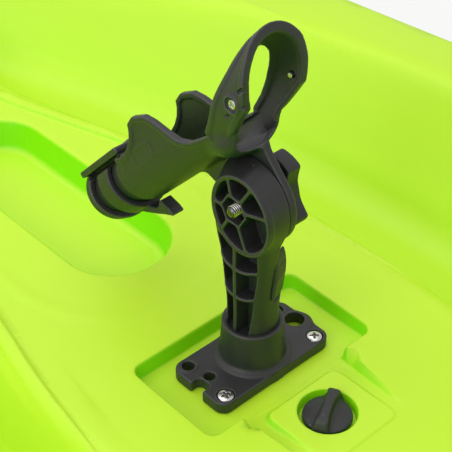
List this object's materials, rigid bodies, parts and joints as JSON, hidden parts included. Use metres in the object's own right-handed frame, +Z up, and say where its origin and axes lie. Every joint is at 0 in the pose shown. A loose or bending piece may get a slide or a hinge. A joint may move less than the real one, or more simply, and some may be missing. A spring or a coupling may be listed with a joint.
{
  "type": "fishing kayak",
  "caption": "Hollow sit-on-top fishing kayak with a swivelling, tilting deck rod holder, drain plug, moulded tray, seat, hatch, rod tubes and carry handles.",
  "frame": {"origin": "under the middle of the hull, on the surface it stands on", "axes": "+X along the kayak to the bow, +Y to port, +Z up"},
  "size_m": [3.048, 0.787, 0.5168],
  "materials": {
    "lime_shell": "satin",
    "black_plastic": "satin",
    "steel": "bright",
    "brass": "turned",
    "rubber": "matte",
    "seat_fabric": "woven"
  },
  "bodies": {
    "hull_body": {"hull": "lime_shell", "rod_base": "black_plastic", "rod_screw_1": "steel", "rod_screw_2": "steel", "rod_insert_1": "brass", "rod_insert_2": "brass", "drain_gasket": "rubber", "seat_cushion": "seat_fabric", "seat_bracket_port": "black_plastic", "seat_bracket_starboard": "black_plastic", "hatch_ring": "black_plastic", "hatch_gasket": "rubber", "rod_tube_port": "black_plastic", "rod_tube_starboard": "black_plastic", "bow_handle_base": "black_plastic", "stern_handle_base": "black_plastic"},
    "plug": {"drain_plug": "black_plastic"},
    "post": {"rod_post": "black_plastic", "rod_nut": "steel", "rod_stud": "steel"},
    "release": {"rod_lever": "black_plastic"},
    "cradle": {"rod_cradle": "black_plastic", "rod_butt_clip": "black_plastic", "rod_washer": "steel"},
    "knob": {"rod_knob": "black_plastic"},
    "backrest": {"seat_back": "black_plastic", "seat_back_pad": "seat_fabric"},
    "lid": {"hatch_lid": "black_plastic"},
    "bow_grip": {"bow_handle": "black_plastic"},
    "stern_grip": {"stern_handle": "black_plastic"}
  },
  "joints": [
    {"name": "post_swivel", "type": "hinge", "parent": "hull_body", "child": "post", "pos_m": [0.38, 0, 0.25], "axis": [0, 0, 1], "continuous": true},
    {"name": "lever_pull", "type": "hinge", "parent": "post", "child": "release", "pos_m": [0.3636, -0.00597, 0.302], "axis": [0.342, -0.9397, 0], "range_deg": [0, 8], "stiffness_Nm_per_rad": 0.5},
    {"name": "cradle_tilt", "type": "hinge", "parent": "post", "child": "cradle", "pos_m": [0.38, 0, 0.38], "axis": [0, 1, 0], "range_deg": [-76, 6]},
    {"name": "knob_turn", "type": "hinge", "parent": "post", "child": "knob", "pos_m": [0.38, 0, 0.38], "axis": [0, 1, 0], "continuous": true},
    {"name": "plug_turn", "type": "hinge", "parent": "hull_body", "child": "plug", "pos_m": [0.303, 0, 0.227], "axis": [0, 0, 1], "continuous": true},
    {"name": "backrest_fold", "type": "hinge", "parent": "hull_body", "child": "backrest", "pos_m": [-0.274, 0, 0.1803], "axis": [0, 1, 0], "range_deg": [-4, 56]},
    {"name": "hatch_turn", "type": "hinge", "parent": "hull_body", "child": "lid", "pos_m": [1.07442, 0, 0.34], "axis": [0, 0, 1], "continuous": true},
    {"name": "bow_handle_swing", "type": "hinge", "parent": "hull_body", "child": "bow_grip", "pos_m": [1.41732, 0, 0.37339], "axis": [0, 1, 0], "range_deg": [0, 140]},
    {"name": "stern_handle_swing", "type": "hinge", "parent": "hull_body", "child": "stern_grip", "pos_m": [-1.41732, 0, 0.35559], "axis": [0, -1, 0], "range_deg": [0, 140]}
  ]
}
